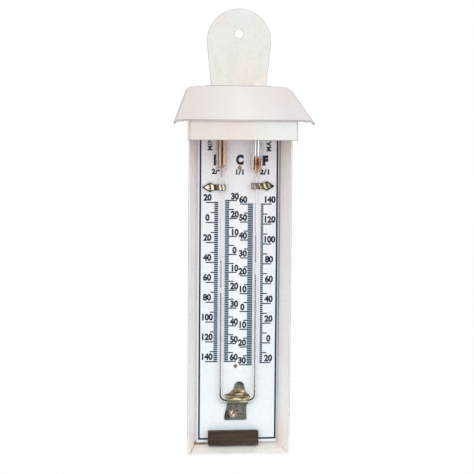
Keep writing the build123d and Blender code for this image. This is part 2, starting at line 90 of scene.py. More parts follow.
def splitPoint(tree, point):
    split = tree.nodes.new("ShaderNodeSeparateXYZ")
    tree.links.new(point, split.inputs[0])
    return split.outputs["X"], split.outputs["Y"], split.outputs["Z"]


def addMath(tree, kind, first, second=0.0):
    node = tree.nodes.new("ShaderNodeMath")
    node.operation = kind
    for socket, value in zip(node.inputs, (first, second)):
        if isinstance(value, (int, float)):
            socket.default_value = value
        else:
            tree.links.new(value, socket)
    return node.outputs["Value"]


def addSum(tree, first, *others):
    for other in others:
        first = addMath(tree, "ADD", first, other)
    return first


def addProduct(tree, first, *others):
    for other in others:
        first = addMath(tree, "MULTIPLY", first, other)
    return first


# what lies from start to end goes from low to high
def addRange(tree, value, start, end, low=0.0, high=1.0):
    spread = tree.nodes.new("ShaderNodeMapRange")
    spread.inputs["From Min"].default_value = start
    spread.inputs["From Max"].default_value = end
    spread.inputs["To Min"].default_value = low
    spread.inputs["To Max"].default_value = high
    tree.links.new(value, spread.inputs["Value"])
    return spread.outputs["Result"]


# the same along a length in millimetres
def addFade(tree, value, start, end, low=0.0, high=1.0):
    return addRange(tree, value, start * mm, end * mm, low, high)


def addNoise(tree, point, scale, detail=4.0, rough=0.55):
    noise = tree.nodes.new("ShaderNodeTexNoise")
    noise.inputs["Scale"].default_value = scale
    noise.inputs["Detail"].default_value = detail
    noise.inputs["Roughness"].default_value = rough
    tree.links.new(point, noise.inputs["Vector"])
    return noise.outputs["Fac"]


def addWander(tree, point, noise, reach):
    centred = addMath(tree, "SUBTRACT", addNoise(tree, point, *noise), 0.5)
    return addProduct(tree, centred, reach)


def addRamp(tree, factor, stops):
    ramp = tree.nodes.new("ShaderNodeValToRGB")
    elements = ramp.color_ramp.elements
    while len(elements) < len(stops):
        elements.new(0.5)
    for element, (position, colour) in zip(elements, stops):
        element.position = position
        element.color = (*colour, 1)
    tree.links.new(factor, ramp.inputs["Fac"])
    return ramp.outputs["Color"]


def addMix(tree, share, under, over, blend="MIX"):
    mix = tree.nodes.new("ShaderNodeMix")
    mix.data_type = "RGBA"
    mix.blend_type = blend
    for socket, value in ((mix.inputs[0], share), (mix.inputs[6], under), (mix.inputs[7], over)):
        if isinstance(value, tuple):
            socket.default_value = (*value, 1)
        elif isinstance(value, float):
            socket.default_value = value
        else:
            tree.links.new(value, socket)
    return mix.outputs[2]


def mixShaders(tree, share, under, over):
    mix = tree.nodes.new("ShaderNodeMixShader")
    for socket, value in zip(mix.inputs, (share, under, over)):
        tree.links.new(value, socket)
    return mix.outputs["Shader"]


def setSurface(tree, surface):
    tree.links.new(surface, tree.nodes["Material Output"].inputs["Surface"])


# sheen and grain of a surface: noise sizes, roughness limits, strength and depth of the bumps
def addSkin(tree, shader, point, skin):
    sheen = addNoise(tree, point, *skin["sheen"])
    tree.links.new(addRange(tree, sheen, 0.0, 1.0, *skin["roughness"]), shader.inputs["Roughness"])
    if "grain" in skin:
        strength, depth = skin["bump"]
        bump = tree.nodes.new("ShaderNodeBump")
        bump.inputs["Strength"].default_value = strength
        bump.inputs["Distance"].default_value = depth * mm
        tree.links.new(addNoise(tree, point, *skin["grain"]), bump.inputs["Height"])
        tree.links.new(bump.outputs["Normal"], shader.inputs["Normal"])


# cosine between a face and a direction
def addTurn(tree, direction):
    face = tree.nodes.new("ShaderNodeNewGeometry")
    turn = tree.nodes.new("ShaderNodeVectorMath")
    turn.operation = "DOT_PRODUCT"
    if isinstance(direction, tuple):
        turn.inputs[0].default_value = direction
    else:
        tree.links.new(direction, turn.inputs[0])
    tree.links.new(face.outputs["Normal"], turn.inputs[1])
    return turn.outputs["Value"]


rims = {"samples": 6, "full": 0.84, "open": 0.985}  # cosines on a full rim and on an open face
facing = {"none": 0.1, "full": 0.3}


# 1 on a rim, 0 on open faces
def addRim(tree, reach, openTurn=rims["open"]):
    bevel = tree.nodes.new("ShaderNodeBevel")
    bevel.samples = rims["samples"]
    bevel.inputs["Radius"].default_value = reach * mm
    return addRange(tree, addTurn(tree, bevel.outputs["Normal"]), rims["full"], openTurn, 1.0, 0.0)


# 1 on faces that look the given way
def addFacing(tree, direction):
    return addRange(tree, addTurn(tree, direction), facing["none"], facing["full"])


# 1 within half the radius, 0 beyond it
def addSpot(tree, point, centre, radius):
    away = tree.nodes.new("ShaderNodeVectorMath")
    away.operation = "DISTANCE"
    away.inputs[1].default_value = [value * mm for value in centre]
    tree.links.new(point, away.inputs[0])
    return addFade(tree, away.outputs["Value"], radius * 0.5, radius, 1.0, 0.0)


# stoved paint: its tone drifts along one axis, with mottling and specks, dark rims that paint shade along
# edges and in creases, and marks of painted shade and shadow
# each fade of a mark is an axis, where it starts and ends, and its share there
paints = {
    "case_tray": {
        "axis": "height",
        "span": (-234, 14),
        # the tones carry painted light: paler on the walls where shade falls, most of all just under the
        # hood
        "tones": [
            (0.00, (0.97, 0.93, 0.88)),
            (0.04, (0.96, 0.93, 0.90)),
            (0.10, (0.96, 0.95, 0.94)),
            (0.45, (0.91, 0.89, 0.92)),
            (0.72, (0.99, 0.90, 0.87)),
            (0.83, (0.80, 0.75, 0.69)),
            (0.98, (0.75, 0.77, 0.74)),
        ],
        "mottle": 0.32,
        "tints": 0.7,
        "specks": 0.20,
        "rim": 1.0,
        "rimReach": 0.6,
        "rimOpen": 0.985,
        "cornerRim": (-226, -222, 0.45, 1.0),  # paler rims at the bottom corners
        "shadeMarks": [
            # painted shadow in the gap where the right wall meets the plate
            {
                "tone": (0.17, 0.16, 0.17),
                "fades": [
                    ("depth", -2.45, -2.0, 0.0, 1.0),
                    ("depth", -1.0, -1.3, 0.0, 1.0),
                    ("across", 23.9, 23.5, 0.0, 1.0),
                    ("across", -10, 10, 0.0, 0.85),
                    ("height", -205, -150, 0.3, 1.0),
                ],
            },
            # painted shadow under the plate's foot at the left, inside the tray only
            {
                "tone": (0.30, 0.21, 0.16),
                "facing": (0, -1, 1),
                "fades": [
                    ("depth", -3.1, -2.7, 0.0, 0.85),
                    ("height", -227.6, -228.0, 0.0, 1.0),
                    ("across", -15.0, -17.5, 0.0, 1.0),
                ],
            },
        ],
    },
    "hood": {
        "axis": "across",
        "span": (-30, 30),
        "tones": [(0.0, (0.73, 0.68, 0.64)), (0.45, (0.77, 0.71, 0.65)), (0.8, (0.79, 0.80, 0.77))],
        "mottle": 0.20,
        "tints": 0.3,
        "specks": 0.08,
        "rim": 1.0,
        "rimReach": 1.0,
        "rimOpen": 0.993,
        "shadeMarks": [
            # painted shade at the fascia's corners, strongest under the roof
            {
                "tone": (0.16, 0.16, 0.17),
                "lean": 0.0,
                "fades": [
                    ("out", 28.55, 29.05, 0.0, 1.0),
                    ("depth", -26.2, -26.9, 0.0, 1.0),
                    ("height", -56, -47, 0.4, 1.0),
                    ("across", -10, 10, 0.45, 1.0),
                ],
            },
        ],
    },
    "roof": {
        "axis": "across",
        "span": (-38, 38),
        "tones": [(0.15, (0.72, 0.66, 0.64)), (0.5, (0.83, 0.80, 0.77)), (0.85, (0.72, 0.67, 0.66))],
        "mottle": 0.12,
        "tints": 0.2,
        "specks": 0.05,
        "rim": 1.0,
        "rimReach": 1.0,
        "rimOpen": 0.993,
        "shadeMarks": [
            # painted shade along the edges of the lips, which spreads towards the front
            {
                "tone": (0.18, 0.18, 0.19),
                "lean": 0.3176,
                "fades": [
                    ("out", 27.4, 27.9, 0.0, 1.0),
                    ("depth", 0.0, -1.0, 0.0, 1.0),
                    ("height", -90, -80, 0.4, 1.0),
                    ("across", -10, 10, 0.35, 0.55),
                ],
            },
        ],
    },
    "hood_rivets": {
        "axis": "height",
        "span": (-60, -30),
        "tones": [(0.0, (0.78, 0.75, 0.72)), (1.0, (0.82, 0.80, 0.77))],
        "mottle": 0.20,
        "tints": 0.0,
        "specks": 0.15,
        "rim": 0.4,
        "rimReach": 0.6,
        "rimOpen": 0.985,
        "shadeMarks": [],
    },
}
paintCoat = {
    "cloud": (55, 3),
    "tint": (75, 3),
    "tintStretch": (1, 1, 0.5),
    # pink and green clouds in the white
    "tintTones": [
        (0.36, (1.0, 0.91, 0.91)),
        (0.47, (1.0, 1.0, 1.0)),
        (0.53, (1.0, 1.0, 1.0)),
        (0.64, (0.90, 0.96, 0.91)),
    ],
    "speck": (700, 3, 0.7),
    "speckSpan": (0.52, 0.72),
    "speckTone": (0.34, 0.32, 0.32),
    # colour of the painted shade on the rims
    "rimTone": (0.17, 0.16, 0.16),
    "sheen": (260, 2),
    "roughness": (0.36, 0.52),
    "grain": (900, 3),
    "bump": (0.12, 0.2),
}


# lays a mark of painted shade over the tone where its fades meet
def addMark(tree, places, tone, mark):
    if "lean" in mark:
        across, depth = places["across"], places["depth"]
        outward = addMath(tree, "ABSOLUTE", across)
        places = {**places, "out": addSum(tree, outward, addProduct(tree, depth, mark["lean"]))}
    shares = [addFade(tree, places[axis], *fade) for axis, *fade in mark["fades"]]
    if "facing" in mark:
        shares.append(addFacing(tree, mark["facing"]))
    return addMix(tree, addProduct(tree, *shares), tone, mark["tone"])


def paintFinish(name, paint):
    material, tree, shader = newMaterial(name)
    point = objectPoint(tree)
    places = dict(zip(("across", "depth", "height"), splitPoint(tree, point)))
    place = addFade(tree, places[paint["axis"]], *paint["span"])
    cloud = addWander(tree, point, paintCoat["cloud"], paint["mottle"])
    tone = addRamp(tree, addSum(tree, place, cloud), paint["tones"])
    if paint["tints"]:
        drawn = objectPoint(tree, paintCoat["tintStretch"])
        tint = addRamp(tree, addNoise(tree, drawn, *paintCoat["tint"]), paintCoat["tintTones"])
        tone = addMix(tree, paint["tints"], tone, tint, "MULTIPLY")
    speck = addNoise(tree, point, *paintCoat["speck"])
    specks = addRange(tree, speck, *paintCoat["speckSpan"], 0.0, paint["specks"])
    tone = addMix(tree, specks, tone, paintCoat["speckTone"])
    for mark in paint["shadeMarks"]:
        tone = addMark(tree, places, tone, mark)
    # dark rims: painted shade along the sheet's edges and in its creases, paler at the bottom corners
    rim = addProduct(tree, addRim(tree, paint["rimReach"], paint["rimOpen"]), paint["rim"])
    if "cornerRim" in paint:
        rim = addProduct(tree, rim, addFade(tree, places["height"], *paint["cornerRim"]))
    tree.links.new(addMix(tree, rim, tone, paintCoat["rimTone"]), shader.inputs["Base Color"])
    addSkin(tree, shader, point, paintCoat)
    return material


plateEnamel = {
    "span": (-228, -36),
    # the tones carry painted reflection: a pink tint towards the hood and a blue one low down
    "tones": [
        (0.00, (0.89, 0.95, 0.98)),
        (0.45, (0.88, 0.92, 0.97)),
        (0.75, (0.88, 0.87, 0.90)),
        (0.95, (0.92, 0.83, 0.87)),
    ],
    "cloud": (60, 3),
    "mottle": 0.25,
    "sheen": (300, 2),
    "roughness": (0.22, 0.34),
    "grain": (500, 2),
    "bump": (0.03, 0.1),
}


def plateFinish(name):
    material, tree, shader = newMaterial(name)
    point = objectPoint(tree)
    height = splitPoint(tree, point)[2]
    place = addFade(tree, height, *plateEnamel["span"])
    cloud = addWander(tree, point, plateEnamel["cloud"], plateEnamel["mottle"])
    tone = addRamp(tree, addSum(tree, place, cloud), plateEnamel["tones"])
    tree.links.new(tone, shader.inputs["Base Color"])
    addSkin(tree, shader, point, plateEnamel)
    return material


# plain metals: dark and light tones, roughness limits and how dark the rims are
metals = {
    "min_index": {
        "name": "bluedSteel",
        "tones": [(0.35, (0.06, 0.07, 0.11)), (0.65, (0.12, 0.13, 0.18))],
        "roughness": (0.30, 0.45),
        "rim": 0.0,
    },
    "min_index_spring": {
        "name": "hairWire",
        "tones": [(0.35, (0.3, 0.3, 0.32)), (0.65, (0.4, 0.4, 0.42))],
        "roughness": (0.25, 0.40),
        "rim": 0.0,
    },
    "plate_pin_upper": {
        "name": "pinBrass",
        "tones": [(0.35, (0.16, 0.14, 0.10)), (0.65, (0.36, 0.33, 0.26))],
        "roughness": (0.30, 0.45),
        "rim": 0.7,
    },
    "plate_pin_lower": {
        "name": "lowerPinBrass",
        "tones": [(0.35, (0.20, 0.10, 0.05)), (0.65, (0.66, 0.50, 0.34))],
        "roughness": (0.30, 0.45),
        "rim": 0.6,
    },
    "foot_clip_pin": {
        "name": "footPinBrass",
        "tones": [(0.35, (0.09, 0.055, 0.03)), (0.65, (0.62, 0.50, 0.32))],
        "roughness": (0.25, 0.40),
        "rim": 0.9,
    },
}
metalCoat = {
    "cloud": (900, 4),
    "rimReach": 0.3,
    "rimTone": (0.03, 0.022, 0.016),
    "sheen": (2700, 2),
    "grain": (3600, 2),
    "bump": (0.15, 0.1),
}


def metalFinish(metal):
    material, tree, shader = newMaterial(metal["name"])
    point = objectPoint(tree)
    shader.inputs["Metallic"].default_value = 1.0
    tone = addRamp(tree, addNoise(tree, point, *metalCoat["cloud"]), metal["tones"])
    if metal["rim"]:
        rim = addProduct(tree, addRim(tree, metalCoat["rimReach"]), metal["rim"])
        tone = addMix(tree, rim, tone, metalCoat["rimTone"])
    tree.links.new(tone, shader.inputs["Base Color"])
    addSkin(tree, shader, point, {**metalCoat, "roughness": metal["roughness"]})
    return material


# clear pieces let the light through to what stands behind them
def clearShadow(tree, surface, colour):
    through = tree.nodes.new("ShaderNodeBsdfTransparent")
    through.inputs["Color"].default_value = (*colour, 1)
    path = tree.nodes.new("ShaderNodeLightPath")
    setSurface(tree, mixShaders(tree, path.outputs["Is Shadow Ray"], surface, through.outputs["BSDF"]))


# painted light and shade on the thread: paler in the legs, dark in the bend
mercury = {
    "falling": (0.38, 0.38, 0.40),
    "rising": (0.33, 0.33, 0.35),
    "between": (-1, 1),
    "bend": (0.022, 0.018, 0.019),
    "bendSpan": (-199.5, -195.0),
    "shade": (240, 3),
    "shadeSpan": (0.35, 0.7),
    "shadeShare": 0.45,
    "shadeTone": (0.05, 0.045, 0.045),
    "sheen": (900, 2),
    "roughness": (0.08, 0.2),
    "grain": (1200, 2),
    "bump": (0.05, 0.1),
}


def mercuryFinish(name):
    material, tree, shader = newMaterial(name)
    point = objectPoint(tree)
    across, _, height = splitPoint(tree, point)
    leg = addMix(tree, addFade(tree, across, *mercury["between"]), mercury["falling"], mercury["rising"])
    tone = addMix(tree, addFade(tree, height, *mercury["bendSpan"], 1.0, 0.0), leg, mercury["bend"])
    cloud = addNoise(tree, point, *mercury["shade"])
    shade = addRange(tree, cloud, *mercury["shadeSpan"], 0.0, mercury["shadeShare"])
    tree.links.new(addMix(tree, shade, tone, mercury["shadeTone"]), shader.inputs["Base Color"])
    shader.inputs["Metallic"].default_value = 1.0
    addSkin(tree, shader, point, mercury)
    return material


glass = {
    "tint": (1.0, 0.99, 0.995),
    "ior": 1.20,
    "specular": 0.08,
    "clear": (1.0, 1.0, 1.0),
    "drawn": (1, 1, 0.05),  # its ripples run along the tube
    "sheen": (500, 2),
    "roughness": (0.0, 0.02),
    "grain": (420, 2),
    "bump": (0.05, 0.1),
    "gleam": (0.95, 0.95, 0.95),
    "gleamRoughness": 0.25,
    "wanderNoise": (300, 2),
    "wander": 0.4,
    "front": (-5.9, -5.5),
    "soften": 1.2,
    # painted highlights, bright upright streaks of gloss: place across, half width, share and the heights
    # they run between
    "streaks": [
        (-12.55, 0.35, 0.45, -73, -36),
        (-6.65, 0.40, 0.60, -75, -36),
        (8.65, 0.32, 1.00, -67.5, -36),
        (10.30, 0.36, 1.00, -67.5, -36),
        (7.35, 0.35, 0.50, -77, -66),
        (7.20, 0.70, 0.35, -76, -36),
        (12.4, 0.45, 0.30, -76, -36),
        (-10.7, 0.30, 0.35, -202, -78),
        (-8.5, 0.30, 0.40, -202, -78),
        (9.9, 0.25, 0.30, -202, -78),
        (10.9, 0.30, 0.40, -202, -78),
    ],
}


# where the painted highlights lie
def addStreaks(tree, across, height):
    total = 0.0
    soften = glass["soften"]
    for place, half, share, foot, head in glass["streaks"]:
        away = addMath(tree, "ABSOLUTE", addSum(tree, across, -place * mm))
        line = addFade(tree, away, half * 0.5, half, share, 0.0)
        above = addFade(tree, height, foot, foot + soften)
        below = addFade(tree, height, head - soften, head, 1.0, 0.0)
        total = addSum(tree, total, addProduct(tree, line, above, below))
    return total


def glassFinish(name):
    material, tree, shader = newMaterial(name)
    shader.inputs["Base Color"].default_value = (*glass["tint"], 1)
    shader.inputs["Transmission Weight"].default_value = 1.0
    shader.inputs["IOR"].default_value = glass["ior"]
    shader.inputs["Specular IOR Level"].default_value = glass["specular"]
    drawn = objectPoint(tree, glass["drawn"])
    addSkin(tree, shader, drawn, glass)
    across, depth, height = splitPoint(tree, objectPoint(tree))
    wander = addWander(tree, drawn, glass["wanderNoise"], glass["wander"] * mm)
    # painted highlights: gloss mixed into the front of the glass along the streaks
    streaks = addStreaks(tree, addSum(tree, across, wander), height)
    share = addProduct(tree, streaks, addFade(tree, depth, *glass["front"], 1.0, 0.0))
    gleam = tree.nodes.new("ShaderNodeBsdfGlossy")
    gleam.inputs["Color"].default_value = (*glass["gleam"], 1)
    gleam.inputs["Roughness"].default_value = glass["gleamRoughness"]
    share = addMath(tree, "MINIMUM", share, 1.0)
    surface = mixShaders(tree, share, shader.outputs["BSDF"], gleam.outputs["BSDF"])
    clearShadow(tree, surface, glass["clear"])
    return material


# spirit: amber across the bulb, with dark lines of painted refraction shade, paler towards the neck
spirits = {
    "spirit_min_side": {
        "walls": (-12.27, -7.13),
        "tones": [
            (0.00, (0.75, 0.58, 0.45)),
            (0.09, (0.40, 0.28, 0.17)),
            (0.17, (0.38, 0.26, 0.16)),
            (0.23, (0.82, 0.60, 0.44)),
            (0.36, (0.84, 0.60, 0.44)),
            (0.41, (0.045, 0.012, 0.001)),
            (0.57, (0.085, 0.028, 0.004)),
            (0.63, (0.82, 0.55, 0.40)),
            (0.84, (0.80, 0.54, 0.42)),
            (1.00, (0.86, 0.68, 0.60)),
        ],
        "wander": 0.10,
        "neck": (-78.0, -71.0, 0.85, 0.0),
        "neckTone": (0.70, 0.56, 0.48),
        # a darker ring where the bulb closes
        "ring": -73.3,
        "ringHalf": 1.0,
        "ringShare": 0.7,
        "ringTone": (0.34, 0.21, 0.14),
        "surface": (-38.0, -36.0, 0.0, 0.0),
        "surfaceTone": (0.86, 0.62, 0.52),
    },
    "spirit_max_side": {
        "walls": (7.13, 12.27),
        "tones": [
            (0.00, (0.70, 0.46, 0.34)),
            (0.09, (0.33, 0.19, 0.12)),
            (0.17, (0.08, 0.030, 0.010)),
            (0.26, (0.10, 0.035, 0.010)),
            (0.32, (0.85, 0.48, 0.28)),
            (0.37, (0.80, 0.44, 0.24)),
            (0.44, (0.22, 0.055, 0.0)),
            (0.53, (0.11, 0.014, 0.0)),
            (0.65, (0.11, 0.014, 0.0)),
            (0.70, (0.62, 0.32, 0.13)),
            (0.85, (0.46, 0.26, 0.13)),
            (0.97, (0.22, 0.13, 0.07)),
        ],
        "wander": 0.05,
        "neck": (-77.5, -72.0, 0.85, 0.0),
        "neckTone": (0.86, 0.62, 0.36),
        "ring": -71.4,
        "ringHalf": 1.6,
        "ringShare": 0.45,
        "ringTone": (0.14, 0.030, 0.0),
        "surface": (-69.0, -68.0, 0.0, 0.40),
        "surfaceTone": (0.86, 0.62, 0.52),
    },
}
spiritBody = {
    "wanderNoise": (260, 2),
    "ringCore": 0.3,
    "transmission": 0.06,
    "ior": 1.36,
    "specular": 0.1,
    "roughness": 0.05,
    "clear": (0.75, 0.60, 0.42),
}


def spiritFinish(name, spirit):
    material, tree, shader = newMaterial(name)
    point = objectPoint(tree)
    across, _, height = splitPoint(tree, point)
    wander = addWander(tree, point, spiritBody["wanderNoise"], spirit["wander"])
    place = addFade(tree, across, *spirit["walls"])
    # amber tones and dark lines of painted refraction shade
    tone = addRamp(tree, addSum(tree, place, wander), spirit["tones"])
    tone = addMix(tree, addFade(tree, height, *spirit["neck"]), tone, spirit["neckTone"])
    ringAway = addMath(tree, "ABSOLUTE", addSum(tree, height, -spirit["ring"] * mm))
    ringCore = spirit["ringHalf"] * spiritBody["ringCore"]
    ring = addFade(tree, ringAway, ringCore, spirit["ringHalf"], spirit["ringShare"], 0.0)
    tone = addMix(tree, ring, tone, spirit["ringTone"])
    tone = addMix(tree, addFade(tree, height, *spirit["surface"]), tone, spirit["surfaceTone"])
    tree.links.new(tone, shader.inputs["Base Color"])
    shader.inputs["Transmission Weight"].default_value = spiritBody["transmission"]
    shader.inputs["IOR"].default_value = spiritBody["ior"]
    shader.inputs["Specular IOR Level"].default_value = spiritBody["specular"]
    shader.inputs["Roughness"].default_value = spiritBody["roughness"]
    clearShadow(tree, shader.outputs["BSDF"], spiritBody["clear"])
    return material


# side clips: bands of painted reflection and tarnish from the leaf's point inwards, in a dark outline
clips = {
    "clip_min_side": {
        "toward": 1,
        "middle": -84.8,
        "slant": 0.010,
        "curve": 0.008,
        "bands": [
            (0.08, (0.03, 0.025, 0.02)),
            (0.12, (0.88, 0.84, 0.70)),
            (0.28, (0.92, 0.88, 0.66)),
            (0.33, (0.22, 0.19, 0.08)),
            (0.39, (0.11, 0.07, 0.03)),
            (0.43, (0.92, 0.82, 0.64)),
            (0.50, (0.94, 0.84, 0.66)),
            (0.54, (0.14, 0.09, 0.05)),
            (0.66, (0.32, 0.26, 0.18)),
            (0.71, (0.30, 0.24, 0.16)),
            (0.74, (0.94, 0.88, 0.70)),
            (0.79, (0.92, 0.86, 0.66)),
            (0.82, (0.09, 0.08, 0.03)),
            (0.865, (0.10, 0.09, 0.04)),
            (0.89, (0.74, 0.71, 0.52)),
            (0.955, (0.70, 0.66, 0.48)),
            (0.98, (0.12, 0.10, 0.07)),
        ],
    },
    "clip_max_side": {
        "toward": -1,
        "middle": -83.9,
        "slant": -0.030,
        "curve": 0.004,
        "bands": [
            (0.15, (0.030, 0.020, 0.012)),
            (0.19, (0.06, 0.045, 0.03)),
            (0.235, (0.42, 0.36, 0.27)),
            (0.265, (0.42, 0.36, 0.27)),
            (0.30, (0.20, 0.16, 0.11)),
            (0.33, (0.07, 0.05, 0.025)),
            (0.355, (0.08, 0.06, 0.03)),
            (0.40, (0.50, 0.44, 0.30)),
            (0.425, (0.92, 0.86, 0.66)),
            (0.450, (0.92, 0.86, 0.66)),
            (0.475, (0.36, 0.30, 0.19)),
            (0.505, (0.07, 0.045, 0.018)),
            (0.53, (0.08, 0.05, 0.02)),
            (0.57, (0.28, 0.22, 0.13)),
            (0.60, (0.38, 0.31, 0.20)),
            (0.655, (0.38, 0.31, 0.20)),
            (0.67, (1.0, 0.95, 0.80)),
            (0.71, (1.0, 0.95, 0.80)),
            (0.725, (0.12, 0.08, 0.05)),
            (0.79, (0.13, 0.09, 0.06)),
            (0.83, (0.24, 0.18, 0.14)),
            (0.88, (0.22, 0.17, 0.13)),
            (0.92, (0.46, 0.40, 0.38)),
        ],
    },
}
leaf = {
    "point": 20.3,
    "reach": 12.7,
    "shoulder": 4.2,
    "halfWidth": 2.55,
    "strapHalf": 1.6,
    "taper": 0.34,
    "wanderNoise": (380, 2),
    "wander": 0.05,
    "outlineTone": (0.022, 0.016, 0.010),
    "outlineWidth": (4.0, 8.0, 0.70, 0.28),  # broader on the leaf than on the strap
    "outlineSoft": (0.75, 1.25),
    "sheen": (900, 2),
    "roughness": (0.16, 0.30),
    "grain": (1200, 2),
    "bump": (0.10, 0.1),
}


def clipFinish(name, clip):
    material, tree, shader = newMaterial(name)
    point = objectPoint(tree)
    across, _, height = splitPoint(tree, point)
    fromPoint = addSum(tree, addProduct(tree, across, clip["toward"] / mm), leaf["point"])
    rise = addSum(tree, addProduct(tree, height, 1 / mm), -clip["middle"])
    off = addMath(tree, "ABSOLUTE", rise)
    wander = addWander(tree, point, leaf["wanderNoise"], leaf["wander"])
    bent = addSum(tree, addProduct(tree, off, off, clip["curve"]), addProduct(tree, rise, clip["slant"]))
    place = addSum(tree, addMath(tree, "DIVIDE", fromPoint, leaf["reach"]), wander, bent)
    # bands of painted reflection and tarnish
    bands = addRamp(tree, place, clip["bands"])
    # half the clip's width at this place: it opens to the shoulder and narrows to the strap
    opening = addProduct(tree, fromPoint, leaf["halfWidth"] / leaf["shoulder"])
    shoulderWidth = leaf["halfWidth"] + leaf["shoulder"] * leaf["taper"]
    closing = addSum(tree, addProduct(tree, fromPoint, -leaf["taper"]), shoulderWidth)
    half = addMath(tree, "MINIMUM", opening, addMath(tree, "MAXIMUM", closing, leaf["strapHalf"]))
    inside = addMath(tree, "SUBTRACT", half, off)
    width = addRange(tree, fromPoint, *leaf["outlineWidth"])
    outline = addRange(tree, addMath(tree, "DIVIDE", inside, width), *leaf["outlineSoft"], 1.0, 0.0)
    tree.links.new(addMix(tree, outline, bands, leaf["outlineTone"]), shader.inputs["Base Color"])
    shader.inputs["Metallic"].default_value = 1.0
    addSkin(tree, shader, point, leaf)
    return material


footPatinaAndHighlights = {
    "grey": (900, 4, 0.7),
    "greys": [(0.34, (0.070, 0.075, 0.070)), (0.5, (0.155, 0.160, 0.140)), (0.64, (0.30, 0.29, 0.24))],
    # streaks of painted highlight and tarnish across the shoulders
    "streak": (560, 2, 0.5),
    "streakStretch": (0.5, 1, 3.2),
    "streakTurn": -10,
    "streaks": [
        (0.34, (0.060, 0.038, 0.018)),
        (0.43, (0.15, 0.11, 0.055)),
        (0.50, (0.28, 0.23, 0.13)),
        (0.57, (0.50, 0.40, 0.25)),
        (0.65, (0.95, 0.84, 0.64)),
    ],
    "streakHead": (-199.8, -197.6),
    "streakFoot": (-203.3, -202.8),
    "shoulderLift": 0.22,
    "raggedNoise": (420, 2),
    "ragged": 3.0,
    # green strip under them
    "strip": (0.19, 0.205, 0.135),
    "stripHead": (-203.3, -202.9),
    "stripFoot": (-205.0, -204.7),
    # a worn bright line along the strip, from its middle to the right
    "worn": (0.80, 0.72, 0.52),
    "wornHead": (-203.9, -203.7),
    "wornFoot": (-204.5, -204.3),
    "wornStart": (0.5, 2.0, 0.0, 0.75),
    # place and radius of the cold head, the brown stain and the bare patch
    "coldSpot": ((2.7, -3.0, -193.4), 2.6),
    "cold": (0.035, 0.045, 0.070),
    "stainSpot": ((-5.4, -3.0, -212.2), 3.4),
    "stainShare": 0.8,
    "stain": (0.060, 0.034, 0.030),
    "bareSpot": ((-2.0, -3.0, -211.2), 3.0),
    "patchStretch": (1, 1, 0.5),
    "patchTurn": 40,
    "patch": (620, 3),
    "patchSpan": (0.40, 0.52),
    "bare": (900, 2),
    "bares": [(0.40, (0.26, 0.16, 0.10)), (0.49, (0.66, 0.50, 0.40)), (0.57, (1.0, 0.90, 0.80))],
    "rimReach": 0.3,
    "rim": 0.6,
    "rimTone": (0.06, 0.055, 0.045),
    "metallic": 0.85,
    "sheen": (700, 3),
    "roughness": (0.32, 0.55),
    "grain": (800, 3),
    "bump": (0.3, 0.2),
}


def footFinish(name):
    patinaAndHighlights = footPatinaAndHighlights
    material, tree, shader = newMaterial(name)
    point = objectPoint(tree)
    across, _, height = splitPoint(tree, point)
    tone = addRamp(tree, addNoise(tree, point, *patinaAndHighlights["grey"]), patinaAndHighlights["greys"])
    ragged = addWander(tree, point, patinaAndHighlights["raggedNoise"], patinaAndHighlights["ragged"] * mm)
    level = addSum(tree, height, ragged)
    lifted = addProduct(tree, addMath(tree, "ABSOLUTE", across), -patinaAndHighlights["shoulderLift"])
    raised = addSum(tree, height, addProduct(tree, ragged, 2.0), lifted)
    # painted highlights and tarnish in streaks across the shoulders
    drawn = objectPoint(tree, patinaAndHighlights["streakStretch"], patinaAndHighlights["streakTurn"])
    streak = addRamp(tree, addNoise(tree, drawn, *patinaAndHighlights["streak"]), patinaAndHighlights["streaks"])
    under = addFade(tree, raised, *patinaAndHighlights["streakHead"], 1.0, 0.0)
    over = addFade(tree, level, *patinaAndHighlights["streakFoot"])
    tone = addMix(tree, addProduct(tree, under, over), tone, streak)
    under = addFade(tree, level, *patinaAndHighlights["stripHead"], 1.0, 0.0)
    over = addFade(tree, height, *patinaAndHighlights["stripFoot"])
    tone = addMix(tree, addProduct(tree, under, over), tone, patinaAndHighlights["strip"])
    under = addFade(tree, height, *patinaAndHighlights["wornHead"], 1.0, 0.0)
    over = addFade(tree, height, *patinaAndHighlights["wornFoot"])
    start = addFade(tree, across, *patinaAndHighlights["wornStart"])
    tone = addMix(tree, addProduct(tree, under, over, start), tone, patinaAndHighlights["worn"])
    tone = addMix(tree, addSpot(tree, point, *patinaAndHighlights["coldSpot"]), tone, patinaAndHighlights["cold"])
    stain = addProduct(tree, addSpot(tree, point, *patinaAndHighlights["stainSpot"]), patinaAndHighlights["stainShare"])
    tone = addMix(tree, stain, tone, patinaAndHighlights["stain"])
    slantwise = objectPoint(tree, patinaAndHighlights["patchStretch"], patinaAndHighlights["patchTurn"])
    patchy = addRange(tree, addNoise(tree, slantwise, *patinaAndHighlights["patch"]), *patinaAndHighlights["patchSpan"])
    bare = addProduct(tree, addSpot(tree, point, *patinaAndHighlights["bareSpot"]), patchy)
    tone = addMix(tree, bare, tone, addRamp(tree, addNoise(tree, point, *patinaAndHighlights["bare"]), patinaAndHighlights["bares"]))
    rim = addProduct(tree, addRim(tree, patinaAndHighlights["rimReach"]), patinaAndHighlights["rim"])
    tree.links.new(addMix(tree, rim, tone, patinaAndHighlights["rimTone"]), shader.inputs["Base Color"])
    shader.inputs["Metallic"].default_value = patinaAndHighlights["metallic"]
    addSkin(tree, shader, point, patinaAndHighlights)
    return material


